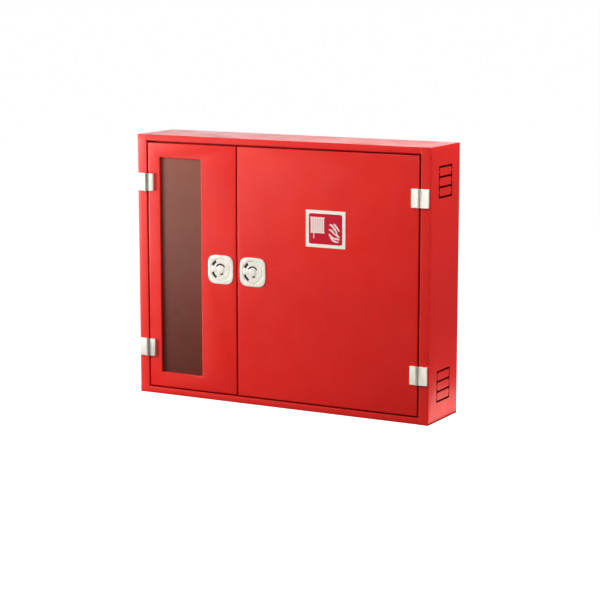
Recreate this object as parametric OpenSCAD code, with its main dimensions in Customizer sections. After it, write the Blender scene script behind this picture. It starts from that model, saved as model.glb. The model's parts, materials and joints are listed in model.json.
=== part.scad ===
// Double-compartment fire hose cabinet: red sheet-steel wall cabinet with a narrow glazed
// extinguisher bay, a wide hose-reel bay, two inset doors, turn latches, reel and stop valve.
// X to the right, -Y out of the wall, +Z up. Origin: centre of the wall bolt pattern, on the wall.

/* [Cabinet] */

// Overall width of the cabinet
width = 1000; // [960:2:1040]
// Overall height of the cabinet
height = 814; // [780:2:850]
// Depth from the wall to the front face
depth = 200; // [195:1:220]
// Thickness of the folded sheet
sheet = 1.5; // [1.2:0.1:1.8]
// Frame width at the sides, up to the door gap
frame_side = 32; // [31:0.5:35]
// Frame width at the top and bottom, up to the door gap
frame_rail = 19.5; // [18:0.5:25]
// Gap round each door
gap = 5; // [3:0.5:5.5]
// Middle gap, measured from the left edge of the cabinet
split = 354; // [345:1:370]

/* [Wall fixing] */

// Distance between the wall holes across
wall_hole_x = 840; // [800:5:860]
// Distance between the wall holes upward
wall_hole_z = 660; // [620:5:700]
// Diameter of a wall hole, for an M8 anchor
wall_hole_d = 9; // [8.5:0.5:11]

/* [Pipe knock-outs] */

// Depth of the knock-out group along the side panel
knock_depth = 92; // [80:1:100]
// Pitch of the three tabs
knock_pitch = 29.6; // [26:0.2:34]
// Width of the slots that outline the tabs
knock_slot = 6; // [4:0.5:7]
// Height of each group above and below the middle
knock_z = 302; // [290:1:310]
// Centre of the group, measured back from the front face
knock_y = 101; // [95:1:110]

/* [Doors] */

// Depth of the folded door pan
door_depth = 20; // [18:1:20]
// Width of the lip folded in behind the door
door_lip = 12; // [10:0.5:14]
// Left edge of the window, from the left edge of the cabinet
window_left = 79.5; // [78:0.5:88]
// Width of the window
window_width = 148; // [137:0.5:150]
// Height of the window
window_height = 674; // [640:2:690]
// Middle of the window above the middle of the cabinet
window_rise = 0.5; // [0:0.5:8]
// Depth of the folded edge round the window
window_return = 8; // [7:0.5:8.5]
// Thickness of the smoked glass
glass = 4; // [3:0.5:4.5]

/* [Sign] */

// Width of the pictogram plate
sign_width = 132; // [120:1:150]
// Height of the pictogram plate
sign_height = 111; // [100:1:130]
// Centre of the plate to the right of the middle
sign_x = 159.5; // [150:0.5:200]
// Centre of the plate above the middle
sign_z = 151; // [120:1:180]

/* [Hinges] */

// Height of each hinge block
hinge_height = 54; // [50:1:60]
// Height of the hinges above and below the middle
hinge_z = 260; // [240:1:280]
// Width of the leaf on the frame
leaf_frame = 26; // [24:0.5:27]
// Width of the leaf on the door
leaf_door = 20; // [18:0.5:24]
// Thickness of a leaf
leaf_thick = 8; // [6:0.25:8]

/* [Latches] */

// Width of the latch plate
latch_size = 89; // [86:1:94]
// Distance of each latch from the middle gap
latch_x = 56.5; // [54:0.5:60]
// Height of the latches above the middle
latch_z = 4; // [0:1:10]
// Radius of the round dish in the latch plate
dish_r = 34.5; // [32:0.5:35]
// Length of the cam from the spindle
cam_length = 50; // [46:0.5:51]

/* [Hose reel] */

// Centre of the reel to the right of the middle
reel_x = 175; // [165:1:185]
// Radius of the side discs
reel_r = 250; // [230:1:252]
// Radius of the core that carries the hose
core_r = 90; // [80:1:100]

/* [Hidden] */

$fn = 96;
half_w = width / 2;
half_h = height / 2;
front = -depth;
door_l = -half_w + frame_side + gap;
door_r = half_w - frame_side - gap;
mid_x = -half_w + split;
door_top = half_h - frame_rail - gap;
rail_z = half_h - frame_rail;
stile_x = half_w - frame_side;
stop_y = front + door_depth + 2;
stop_w = 12;
flange = 15;
axis_x = half_w - frame_side - gap / 2;
axis_y = front - 10;
knuckle_r = 5;
pin_r = 2.5;
run = 0.05;
knuckle_h = 9;
screw_r = 2.5;
screw_head_r = 4.25;
leaf_hole = 4;
frame_screw_x = 17.5;
door_screw_x = 13;
leaf_screw_z = 14;
tab_bridge = 3;
win_l = -half_w + window_left;
win_r = win_l + window_width;
win_b = window_rise - window_height / 2;
win_t = window_rise + window_height / 2;
seal = 2;
lap = 10;
seal_y = front + window_return;
glass_y = seal_y + seal;
stud_y = glass_y + glass + sheet;
latch_l = mid_x - latch_x;
latch_r = mid_x + latch_x;
plate_y = 2.5;
cup_r = dish_r + 1.5;
cup_back = front + 12;
spindle_r = 6;
tip_r = 4;
cam_y = stop_y + 4;
cam_t = 3;
cam_r = 8;
hub_pad_r = 15;
pocket_r = 22;
grip_z = 13;
reel_back = -53.5;
reel_front = -150;
reel_sheet = 1.5;
hub_r = 22;
axle_r = 15;
axle_bore = 10;
plate_back = -41;
reel_y = -100;
bracket_x = 65;
bracket_z = 100;
hole_ring = 168;
hole_r = 40;
web_ring = 70;
web_screw_r = 3;
pipe_r = 12;
pipe_bore = 9.5;
elbow_r = 14.5;
pipe_y = -26;
valve_x = 425;
valve_y = front + knock_y;
valve_z = knock_z;
outlet_x = 330;
clip_z = 190;
clip_x = 24;
thread_r = 15.15;
hang_x = (-half_w + mid_x) / 2;
bolt_r = 4;
hanger_z = 110;
hanger_pitch = 70;
hanger_r = 3;
hook_z = 140;

// ---------- helpers ----------

// Box between two values on each axis
module bar(x0, x1, y0, y1, z0, z1) {
    translate([min(x0, x1), min(y0, y1), min(z0, z1)])
        cube([abs(x1 - x0), abs(y1 - y0), abs(z1 - z0)]);
}

// Cylinder along Y between two depths
module rod_y(x, z, r, y0, y1) {
    translate([x, max(y0, y1), z])
        rotate([90, 0, 0])
            cylinder(r = r, h = abs(y1 - y0));
}

// Cylinder along X between two values
module rod_x(y, z, r, x0, x1) {
    translate([min(x0, x1), y, z])
        rotate([0, 90, 0])
            cylinder(r = r, h = abs(x1 - x0));
}

// Cylinder along Z between two heights
module rod_z(x, y, r, z0, z1) {
    translate([x, y, min(z0, z1)])
        cylinder(r = r, h = abs(z1 - z0));
}

// Hexagon prism along Y, given across flats
module hex_y(x, z, flats, y0, y1) {
    translate([x, max(y0, y1), z])
        rotate([90, 0, 0])
            cylinder(r = flats / sqrt(3), h = abs(y1 - y0), $fn = 6);
}

// Hexagon prism along X, given across flats
module hex_x(y, z, flats, x0, x1) {
    translate([min(x0, x1), y, z])
        rotate([0, 90, 0])
            cylinder(r = flats / sqrt(3), h = abs(x1 - x0), $fn = 6);
}

// Point on a square with rounded corners and bowed sides
function bowed(a, n, t) = [
    a * sign(cos(t)) * pow(abs(cos(t)), 2 / n),
    a * sign(sin(t)) * pow(abs(sin(t)), 2 / n)
];

// Plate with bowed sides, its face towards -Y
module bowed_plate(x, z, half, y0, y1) {
    translate([x, max(y0, y1), z])
        rotate([90, 0, 0])
            linear_extrude(height = abs(y1 - y0))
                polygon([for (i = [0 : 95]) bowed(half, 4, i * 3.75)]);
}

// ---------- folded shell ----------

// Slots round three break-out tabs, leaving a small bridge at each end of every tab
module knockout_slots(z, x0, x1) {
    yc = front + knock_y;
    hy = knock_depth / 2;
    hz = 1.5 * knock_pitch;
    difference() {
        union() {
            for (i = [0 : 3])
                translate([0, 0, z - hz + i * knock_pitch])
                    bar(x0, x1, yc - hy, yc + hy, -knock_slot / 2, knock_slot / 2);
            for (s = [-1, 1])
                bar(x0, x1, yc + s * hy, yc + s * (hy - knock_slot), z - hz, z + hz);
        }
        for (i = [-1 : 1])
            translate([0, 0, z + i * knock_pitch])
                bar(x0 - 1, x1 + 1, yc - hy - 1, yc + hy + 1, -tab_bridge / 2, tab_bridge / 2);
    }
}

// Side panel, drawn for the left: outer sheet, frame stile, return and door stop
module side_shape() {
    difference() {
        union() {
            bar(-half_w, -half_w + sheet, front + sheet, -sheet, -half_h, half_h);
            bar(-half_w, -stile_x, front, front + sheet, -half_h, half_h);
            bar(-stile_x - sheet, -stile_x, front + sheet, stop_y, -half_h + sheet, half_h - sheet);
            bar(-stile_x - sheet, -stile_x + stop_w, stop_y, stop_y + sheet, -rail_z, rail_z);
            bar(-half_w + sheet, -half_w + sheet + flange, -2 * sheet, -sheet,
                -half_h + sheet, half_h - sheet);
        }
        for (s = [-1, 1])
            knockout_slots(s * knock_z, -half_w - 1, -half_w + sheet + 1);
        for (s = [-1, 1], t = [-1, 1])
            rod_y(-axis_x - frame_screw_x, s * hinge_z + t * leaf_screw_z, screw_r,
                front - 1, front + sheet + 1);
    }
}

module left_side() {
    color("firebrick")
        side_shape();
}

module right_side() {
    color("firebrick")
        mirror([1, 0, 0])
            side_shape();
}

// Top or bottom panel, drawn for the top: sheet, frame rail, return and door stop
module rail_shape() {
    in_x = half_w - sheet;
    bar(-in_x, in_x, front + sheet, -sheet, half_h - sheet, half_h);
    bar(-stile_x, stile_x, front, front + sheet, rail_z, half_h);
    bar(-stile_x, stile_x, front + sheet, stop_y, rail_z, rail_z + sheet);
    bar(-stile_x + stop_w, stile_x - stop_w, stop_y, stop_y + sheet, rail_z - stop_w, rail_z + sheet);
    bar(-in_x + flange, in_x - flange, -2 * sheet, -sheet, half_h - sheet - flange, half_h - sheet);
}

module top_panel() {
    color("indianred")
        rail_shape();
}

module bottom_panel() {
    color("indianred")
        mirror([0, 0, 1])
            rail_shape();
}

// Back sheet with the four wall holes and the holes for the inner brackets
module back_panel() {
    color("brown")
        difference() {
            bar(-half_w, half_w, -sheet, 0, -half_h, half_h);
            for (s = [-1, 1], t = [-1, 1])
                rod_y(s * wall_hole_x / 2, t * wall_hole_z / 2, wall_hole_d / 2, -5, 1);
            for (s = [-1, 1], t = [-1, 1])
                rod_y(reel_x + s * bracket_x, t * bracket_z, bolt_r, -5, 1);
            for (t = [0, 1])
                rod_y(hang_x, hanger_z + t * hanger_pitch, hanger_r, -5, 1);
            for (s = [-1, 1])
                rod_y(reel_x + s * clip_x, clip_z, screw_r, -5, 1);
        }
}

// Partition between the two bays, with a stop flange for the right door
module divider_panel() {
    color("firebrick") {
        bar(mid_x - sheet / 2, mid_x + sheet / 2, stop_y + sheet, -2 * sheet,
            -half_h + sheet, half_h - sheet);
        bar(mid_x - sheet / 2, mid_x + sheet / 2, -2 * sheet, -sheet,
            -half_h + sheet + flange, half_h - sheet - flange);
        bar(mid_x - sheet / 2, mid_x + flange, stop_y, stop_y + sheet, -rail_z + stop_w, rail_z - stop_w);
        bar(mid_x + sheet / 2, mid_x + flange, -2 * sheet, -sheet,
            -half_h + sheet + flange, half_h - sheet - flange);
    }
}

// Angle spot-welded to the partition: the stop flange of the left door
module mullion_angle() {
    z = rail_z - stop_w;
    color("indianred") {
        bar(mid_x - flange, mid_x - sheet / 2, stop_y, stop_y + sheet, -z, z);
        bar(mid_x - sheet * 1.5, mid_x - sheet / 2, stop_y + sheet, stop_y + 20, -z, z);
    }
}

// ---------- doors ----------

// Folded door pan between two sides
module pan(x0, x1) {
    difference() {
        bar(x0, x1, front, front + door_depth, -door_top, door_top);
        bar(x0 + sheet, x1 - sheet, front + sheet, front + door_depth - sheet,
            -door_top + sheet, door_top - sheet);
        bar(x0 + door_lip, x1 - door_lip, front + sheet, front + door_depth + 1,
            -door_top + door_lip, door_top - door_lip);
    }
}

// Studs that hold the glass retainer, at the sides of the window
module at_studs() {
    for (i = [-1 : 1])
        for (x = [win_l - lap - 6, win_r + lap + 6])
            translate([x, 0, window_rise + i * (window_height / 2 - 40)])
                children();
}

module left_door() {
    color("red")
        difference() {
            union() {
                pan(door_l, mid_x - gap / 2);
                bar(win_l - sheet, win_r + sheet, front + 0.5, seal_y, win_b - sheet, win_t + sheet);
                at_studs()
                    rod_y(0, 0, 2, front + sheet - 0.5, stud_y + 4);
            }
            bar(win_l, win_r, front - 1, seal_y + 1, win_b, win_t);
            rod_y(latch_l, latch_z, cup_r, front - 1, front + sheet + 1);
            for (s = [-1, 1], t = [-1, 1])
                rod_y(-axis_x + door_screw_x, s * hinge_z + t * leaf_screw_z, screw_r,
                    front - 1, front + sheet + 1);
        }
}

// Rubber seal between the folded edge and the glass, turned round the edge of the glass
module window_seal() {
    color("black")
        difference() {
            bar(win_l - lap - 2, win_r + lap + 2, seal_y, glass_y + glass, win_b - lap - 2, win_t + lap + 2);
            bar(win_l, win_r, front, glass_y + glass + 1, win_b, win_t);
            bar(win_l - lap, win_r + lap, glass_y, glass_y + glass + 1, win_b - lap, win_t + lap);
        }
}

module window_glass() {
    color([0.3, 0.2, 0.18, 0.6])
        bar(win_l - lap, win_r + lap, glass_y, glass_y + glass, win_b - lap, win_t + lap);
}

// Sheet frame that presses the glass against the seal
module glass_retainer() {
    color("firebrick")
        difference() {
            bar(win_l - lap - 11, win_r + lap + 11, glass_y + glass, stud_y,
                win_b - lap - 11, win_t + lap + 11);
            bar(win_l, win_r, glass_y, stud_y + 1, win_b, win_t);
            at_studs()
                rod_y(0, 0, 2, glass_y, stud_y + 1);
        }
}

module retainer_nuts() {
    color("silver")
        at_studs()
            difference() {
                hex_y(0, 0, 7, stud_y, stud_y + 3.2);
                rod_y(0, 0, 2, stud_y - 1, stud_y + 5);
            }
}

module right_door() {
    color("red")
        difference() {
            pan(mid_x + gap / 2, door_r);
            rod_y(latch_r, latch_z, cup_r, front - 1, front + sheet + 1);
            for (s = [-1, 1], t = [-1, 1])
                rod_y(axis_x - door_screw_x, s * hinge_z + t * leaf_screw_z, screw_r,
                    front - 1, front + sheet + 1);
        }
}

// Hat section welded inside the wide door
module door_stiffener() {
    xc = (mid_x + door_r) / 2;
    z = door_top - 16;
    y = front + sheet;
    color("firebrick") {
        bar(xc - 30, xc - 15, y, y + 1.2, -z, z);
        bar(xc + 15, xc + 30, y, y + 1.2, -z, z);
        bar(xc - 16.2, xc - 15, y + 1.2, y + 12, -z, z);
        bar(xc + 15, xc + 16.2, y + 1.2, y + 12, -z, z);
        bar(xc - 16.2, xc + 16.2, y + 12, y + 13.2, -z, z);
    }
}

module sign_plate() {
    color("white")
        bar(sign_x - sign_width / 2, sign_x + sign_width / 2, front - 1, front,
            sign_z - sign_height / 2, sign_z + sign_height / 2);
}

// ---------- hinges, drawn for the left side at mid height ----------

module frame_leaf() {
    difference() {
        union() {
            bar(-axis_x - 4 - leaf_frame, -axis_x - 1.5, front - leaf_thick, front,
                -hinge_height / 2, hinge_height / 2);
            rod_z(-axis_x, axis_y, knuckle_r, -hinge_height / 2, hinge_height / 2);
        }
        rod_z(-axis_x, axis_y, knuckle_r + 0.4, -knuckle_h - 0.2, knuckle_h + 0.2);
        rod_z(-axis_x, axis_y, pin_r, -hinge_height, hinge_height);
        for (t = [-1, 1])
            rod_y(-axis_x - frame_screw_x, t * leaf_screw_z, screw_r, front - leaf_hole, front + 1);
    }
}

module door_leaf() {
    difference() {
        union() {
            bar(-axis_x + 1.5, -axis_x + 4 + leaf_door, front - leaf_thick, front,
                -hinge_height / 2, hinge_height / 2);
            rod_z(-axis_x, axis_y, knuckle_r, -knuckle_h, knuckle_h);
        }
        for (s = [-1, 1])
            rod_z(-axis_x, axis_y, knuckle_r + 0.4, s * knuckle_h, s * (hinge_height / 2 + 1));
        rod_z(-axis_x, axis_y, pin_r + run, -hinge_height, hinge_height);
        for (t = [-1, 1])
            rod_y(-axis_x + door_screw_x, t * leaf_screw_z, screw_r, front - leaf_hole, front + 1);
    }
}

module hinge_pin() {
    rod_z(-axis_x, axis_y, pin_r, -hinge_height / 2, hinge_height / 2);
    rod_z(-axis_x, axis_y, knuckle_r - 0.8, hinge_height / 2, hinge_height / 2 + 1.2);
}

// Screw from behind the sheet into a leaf
module leaf_screw(x, z) {
    rod_y(x, z, screw_head_r, front + sheet, front + sheet + 3);
    rod_y(x, z, screw_r, front - leaf_hole, front + sheet);
}

// One corner of the frame: side -1 or 1, level -1 or 1
module corner(side, level) {
    mirror([side > 0 ? 1 : 0, 0, 0])
        translate([0, 0, level * hinge_z])
            children();
}

module hinge_frame_leaf_ul() {
    color("gainsboro")
        corner(-1, 1)
            frame_leaf();
}

module hinge_frame_leaf_ll() {
    color("gainsboro")
        corner(-1, -1)
            frame_leaf();
}

module hinge_frame_leaf_ur() {
    color("gainsboro")
        corner(1, 1)
            frame_leaf();
}

module hinge_frame_leaf_lr() {
    color("gainsboro")
        corner(1, -1)
            frame_leaf();
}

module hinge_door_leaf_ul() {
    color("silver")
        corner(-1, 1)
            door_leaf();
}

module hinge_door_leaf_ll() {
    color("silver")
        corner(-1, -1)
            door_leaf();
}

module hinge_door_leaf_ur() {
    color("silver")
        corner(1, 1)
            door_leaf();
}

module hinge_door_leaf_lr() {
    color("silver")
        corner(1, -1)
            door_leaf();
}

module hinge_pin_ul() {
    color("gray")
        corner(-1, 1)
            hinge_pin();
}

module hinge_pin_ll() {
    color("gray")
        corner(-1, -1)
            hinge_pin();
}

module hinge_pin_ur() {
    color("gray")
        corner(1, 1)
            hinge_pin();
}

module hinge_pin_lr() {
    color("gray")
        corner(1, -1)
            hinge_pin();
}

module hinge_frame_screws() {
    color("dimgray")
        for (side = [-1, 1], level = [-1, 1], t = [-1, 1])
            leaf_screw(side * (axis_x + frame_screw_x), level * hinge_z + t * leaf_screw_z);
}

module hinge_screws_left() {
    color("dimgray")
        for (level = [-1, 1], t = [-1, 1])
            leaf_screw(-axis_x + door_screw_x, level * hinge_z + t * leaf_screw_z);
}

module hinge_screws_right() {
    color("dimgray")
        for (level = [-1, 1], t = [-1, 1])
            leaf_screw(axis_x - door_screw_x, level * hinge_z + t * leaf_screw_z);
}

// ---------- latches, drawn with the spindle at the origin ----------

// Puts a latch piece at its place on a door
module at_latch(x) {
    translate([x, 0, latch_z])
        children();
}

// Bowed-square plate with a round dish let through the door and a barrel for the spindle
module latch_body() {
    difference() {
        union() {
            bowed_plate(0, 0, latch_size / 2, front - plate_y, front);
            rod_y(0, 0, cup_r, front - 1, cup_back);
            rod_y(0, 0, 11, cup_back - 1, stop_y);
        }
        rod_y(0, 0, dish_r, front - plate_y - 1, cup_back - 2);
        rod_y(0, 0, spindle_r + run, cup_back - 5, stop_y + 1);
    }
}

// Ring nut that clamps the latch to the door from behind
module latch_nut() {
    y0 = front + sheet;
    difference() {
        rod_y(0, 0, cup_r + 7, y0, y0 + 4);
        rod_y(0, 0, cup_r, y0 - 1, y0 + 5);
        for (a = [0 : 60 : 300])
            translate([(cup_r + 7) * cos(a), 0, (cup_r + 7) * sin(a)])
                rod_y(0, 0, 2.5, y0 - 1, y0 + 5);
    }
}

// Turning grip: a round pad with a hub, a bar towards the left rim and two finger pockets
module latch_handle() {
    pad_r = dish_r - 0.5;
    difference() {
        union() {
            rod_y(0, 0, pad_r, front - plate_y + 0.5, cup_back - 2.5);
            rod_y(0, 0, hub_pad_r, front - plate_y - 1.5, front);
            intersection() {
                rod_y(0, 0, pad_r, front - plate_y - 1.5, front);
                bar(-pad_r, 0, front - plate_y - 1.5, front, -grip_z, grip_z);
            }
            rod_y(0, 0, spindle_r, cup_back - 3, cam_y);
            rod_y(0, 0, tip_r, cam_y - 1, cam_y + 8);
        }
        for (s = [-1, 1])
            intersection() {
                difference() {
                    rod_y(0, 0, pad_r - 3, front - 10, cup_back - 5);
                    rod_y(0, 0, pocket_r, front - 11, cup_back);
                }
                bar(-pad_r, -12, front - 11, cup_back, s * grip_z, s * pad_r);
            }
    }
}

// Cam that turns behind the stop flange; it stands upright when the latch is free
module latch_cam() {
    difference() {
        union() {
            bar(-cam_r, cam_r, cam_y, cam_y + cam_t, 0, cam_length - cam_r);
            rod_y(0, 0, 12, cam_y, cam_y + cam_t);
            rod_y(0, cam_length - cam_r, cam_r, cam_y, cam_y + cam_t);
        }
        rod_y(0, 0, tip_r, cam_y - 1, cam_y + cam_t + 1);
    }
}

module cam_nut() {
    difference() {
        hex_y(0, 0, 13, cam_y + cam_t, cam_y + cam_t + 4);
        rod_y(0, 0, tip_r, cam_y, cam_y + cam_t + 5);
    }
}

module latch_body_left() {
    color("gainsboro")
        at_latch(latch_l)
            latch_body();
}

module latch_body_right() {
    color("gainsboro")
        at_latch(latch_r)
            latch_body();
}

module latch_nut_left() {
    color("gray")
        at_latch(latch_l)
            latch_nut();
}

module latch_nut_right() {
    color("gray")
        at_latch(latch_r)
            latch_nut();
}

module latch_handle_left() {
    color("silver")
        at_latch(latch_l)
            latch_handle();
}

module latch_handle_right() {
    color("silver")
        at_latch(latch_r)
            latch_handle();
}

module latch_cam_left() {
    color("dimgray")
        at_latch(latch_l)
            latch_cam();
}

module latch_cam_right() {
    color("dimgray")
        at_latch(latch_r)
            latch_cam();
}

module cam_nut_left() {
    color("gray")
        at_latch(latch_l)
            cam_nut();
}

module cam_nut_right() {
    color("gray")
        at_latch(latch_r)
            cam_nut();
}

// ---------- hose reel ----------

// Bridge bracket bolted to the back sheet: the feed pipe comes down inside it
module reel_bracket() {
    color("slategray")
        difference() {
            union() {
                bar(reel_x - 80, reel_x + 80, -sheet - 3, -sheet, -120, 120);
                for (s = [-1, 1])
                    bar(reel_x + s * 46, reel_x + s * 50, plate_back, -sheet - 3, -45, 45);
                bar(reel_x - 50, reel_x + 50, plate_back - 4, plate_back, -45, 45);
            }
            rod_y(reel_x, 0, axle_r, plate_back - 5, plate_back + 1);
            for (s = [-1, 1], t = [-1, 1])
                rod_y(reel_x + s * bracket_x, t * bracket_z, bolt_r, -10, 0);
        }
}

module bracket_bolts() {
    color("gray")
        for (s = [-1, 1], t = [-1, 1]) {
            hex_y(reel_x + s * bracket_x, t * bracket_z, 13, -sheet - 3 - 5.3, -sheet - 3);
            rod_y(reel_x + s * bracket_x, t * bracket_z, bolt_r, -sheet - 3, -0.2);
        }
}

// Hollow axle with a flange against the bracket and ports into the hub
module reel_axle() {
    color("goldenrod")
        difference() {
            union() {
                rod_y(reel_x, 0, axle_r, plate_back + 2, reel_front - 15);
                rod_y(reel_x, 0, 28, plate_back - 4, plate_back - 7);
            }
            rod_y(reel_x, 0, axle_bore, plate_back + 3, reel_front - 16);
            rod_x(reel_y, 0, 4, reel_x - 20, reel_x + 20);
            rod_z(reel_x, reel_y, 4, -20, 20);
        }
}

// Locking collar that keeps the hub on the axle
module axle_collar() {
    color("gray")
        difference() {
            rod_y(reel_x, 0, 24, reel_front - 8.3, reel_front - 13);
            rod_y(reel_x, 0, axle_r, reel_front - 8, reel_front - 14);
        }
}

module axle_plug() {
    color("goldenrod") {
        rod_y(reel_x, 0, axle_bore, reel_front - 15, reel_front - 6);
        hex_y(reel_x, 0, 22, reel_front - 15, reel_front - 19);
    }
}

module reel_hub() {
    color("darkgoldenrod")
        difference() {
            rod_y(reel_x, 0, hub_r, reel_back + 3.5, reel_front - 8);
            rod_y(reel_x, 0, axle_r + run, 0, reel_front - 9);
            rod_z(reel_x, reel_y, 8, 0, hub_r + 5);
        }
}

// Core of the reel: a short tube with an end web at each side
module reel_drum() {
    y0 = reel_front;
    y1 = reel_back - reel_sheet;
    color("crimson")
        difference() {
            rod_y(reel_x, 0, core_r, y0, y1);
            difference() {
                rod_y(reel_x, 0, core_r - reel_sheet, y0 + reel_sheet, y1 - reel_sheet);
                rod_y(reel_x, 0, hub_r - 1, y0, y1);
            }
            rod_y(reel_x, 0, hub_r, y0 - 1, y1 + 1);
            rod_z(reel_x, reel_y, 12, core_r - 5, core_r + 5);
            for (a = [30 : 60 : 330])
                rod_y(reel_x + web_ring * cos(a), web_ring * sin(a), web_screw_r, y0 - 1, y1 + 1);
        }
}

// Side disc with a rolled rim and six lightening holes, between two depths
module reel_disc(y0, y1) {
    difference() {
        union() {
            rod_y(reel_x, 0, reel_r - 4, y0, y1);
            translate([reel_x, (y0 + y1) / 2, 0])
                rotate([90, 0, 0])
                    rotate_extrude()
                        translate([reel_r - 4, 0])
                            circle(r = 4, $fn = 48);
        }
        rod_y(reel_x, 0, hub_r, y0 - 10, y1 + 10);
        for (a = [0 : 60 : 300])
            rod_y(reel_x + hole_ring * cos(a), hole_ring * sin(a), hole_r, y0 - 10, y1 + 10);
        for (a = [30 : 60 : 330])
            rod_y(reel_x + web_ring * cos(a), web_ring * sin(a), web_screw_r, y0 - 10, y1 + 10);
    }
}

module reel_disc_back() {
    color("red")
        reel_disc(reel_back - reel_sheet, reel_back);
}

module reel_disc_front() {
    color("red")
        reel_disc(reel_front - reel_sheet, reel_front);
}

module reel_screws() {
    color("silver")
        for (a = [30 : 60 : 330])
            translate([reel_x + web_ring * cos(a), 0, web_ring * sin(a)]) {
                rod_y(0, 0, 5.5, reel_back, reel_back + 3);
                rod_y(0, 0, web_screw_r, reel_back - 2 * reel_sheet, reel_back);
                rod_y(0, 0, 5.5, reel_front - reel_sheet, reel_front - reel_sheet - 3);
                rod_y(0, 0, web_screw_r, reel_front + reel_sheet, reel_front - reel_sheet);
            }
}

// Threaded stub that carries water from the hub out through the core
module hose_outlet() {
    color("goldenrod")
        difference() {
            intersection() {
                union() {
                    rod_z(reel_x, reel_y, 12, 0, core_r + 22);
                    rod_z(reel_x, reel_y, 13, core_r + 2, core_r + 22);
                }
                difference() {
                    bar(reel_x - 20, reel_x + 20, -130, -70, 0, core_r + 22);
                    rod_y(reel_x, 0, hub_r, -140, -60);
                }
            }
            rod_z(reel_x, reel_y, 8, 0, core_r + 30);
        }
}

// ---------- water supply ----------

// Globe valve: inlet towards the side knock-outs, outlet towards the reel
module stop_valve() {
    barrel = [[0, -38], [20, -38], [20, -26], [24, -18], [24, 18], [20, 26], [20, 38], [0, 38]];
    color("goldenrod")
        difference() {
            union() {
                translate([valve_x, valve_y, valve_z])
                    rotate([0, 90, 0])
                        rotate_extrude()
                            polygon(barrel);
                hex_x(valve_y, valve_z, 41, valve_x + 26, valve_x + 45);
                hex_x(valve_y, valve_z, 34, valve_x - 45, valve_x - 28);
                rod_y(valve_x, valve_z, 17, valve_y - 30, valve_y);
            }
            rod_x(valve_y, valve_z, thread_r, valve_x + 25, valve_x + 46);
            rod_x(valve_y, valve_z, pipe_r, valve_x - 46, valve_x - 33);
            rod_x(valve_y, valve_z, 8, valve_x - 34, valve_x + 26);
            rod_y(valve_x, valve_z, 10, valve_y - 31, valve_y + 2);
        }
}

// Screwed bonnet with the gland round the stem
module valve_bonnet() {
    color("darkgoldenrod")
        difference() {
            union() {
                hex_y(valve_x, valve_z, 32, valve_y - 30, valve_y - 40);
                rod_y(valve_x, valve_z, 10, valve_y - 30, valve_y - 18);
                rod_y(valve_x, valve_z, 10, valve_y - 40, valve_y - 48);
            }
            rod_y(valve_x, valve_z, 4 + run, valve_y - 10, valve_y - 50);
        }
}

module valve_stem() {
    color("silver") {
        rod_y(valve_x, valve_z, 4, valve_y - 6, valve_y - 66);
        rod_y(valve_x, valve_z, 8, valve_y - 4, valve_y - 16);
    }
}

// Spoked wheel on the stem
module handwheel() {
    yc = valve_y - 58;
    color("crimson")
        difference() {
            union() {
                translate([valve_x, yc, valve_z])
                    rotate([90, 0, 0])
                        rotate_extrude()
                            translate([27, 0])
                                circle(r = 4.5, $fn = 48);
                rod_y(valve_x, valve_z, 9, yc - 6, yc + 6);
                for (a = [0 : 72 : 288])
                    translate([valve_x, yc, valve_z])
                        rotate([0, a, 0])
                            cylinder(r = 3, h = 27);
            }
            rod_y(valve_x, valve_z, 4, yc - 8, yc + 8);
        }
}

// Pipe from the valve to the axle, with a fitting at each turn
module feed_pipe() {
    color("silver")
        difference() {
            union() {
                pipe_run(pipe_r);
                for (p = [[outlet_x, valve_y], [outlet_x, pipe_y], [reel_x, pipe_y]])
                    translate([p[0], p[1], valve_z])
                        sphere(r = elbow_r);
                rod_x(valve_y, valve_z, elbow_r, outlet_x, outlet_x + 22);
                rod_y(outlet_x, valve_z, elbow_r, valve_y, valve_y + 20);
                rod_y(outlet_x, valve_z, elbow_r, pipe_y - 20, pipe_y);
                rod_x(pipe_y, valve_z, elbow_r, outlet_x - 22, outlet_x);
                rod_x(pipe_y, valve_z, elbow_r, reel_x, reel_x + 22);
                rod_z(reel_x, pipe_y, elbow_r, valve_z - 22, valve_z);
            }
            pipe_run(pipe_bore);
            rod_y(reel_x, 0, pipe_bore, plate_back, pipe_y);
        }
}

// Path of the feed pipe, as a solid of the given radius
module pipe_run(r) {
    rod_x(valve_y, valve_z, r, outlet_x, valve_x - 33);
    rod_y(outlet_x, valve_z, r, valve_y, pipe_y);
    rod_x(pipe_y, valve_z, r, reel_x, outlet_x);
    rod_z(reel_x, pipe_y, r, 0, valve_z);
    rod_y(reel_x, 0, r, plate_back + 2, pipe_y);
    turns = [
        [outlet_x, valve_y, valve_z], [outlet_x, pipe_y, valve_z],
        [reel_x, pipe_y, valve_z], [reel_x, pipe_y, 0]
    ];
    for (p = turns)
        translate(p)
            sphere(r = r);
}

// Saddle that ties the feed pipe to the back sheet
module pipe_clip() {
    z0 = clip_z - 10;
    z1 = clip_z + 10;
    color("gray")
        difference() {
            union() {
                bar(reel_x - 34, reel_x + 34, -sheet - 2, -sheet, z0, z1);
                bar(reel_x - pipe_r - 2, reel_x + pipe_r + 2, pipe_y, -sheet, z0, z1);
                rod_z(reel_x, pipe_y, pipe_r + 2, z0, z1);
                for (s = [-1, 1]) {
                    rod_y(reel_x + s * clip_x, clip_z, 4.5, -sheet - 2, -sheet - 5);
                    rod_y(reel_x + s * clip_x, clip_z, screw_r, -sheet, -0.2);
                }
            }
            rod_z(reel_x, pipe_y, pipe_r, z0 - 1, z1 + 1);
        }
}

// ---------- extinguisher bay ----------

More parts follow.
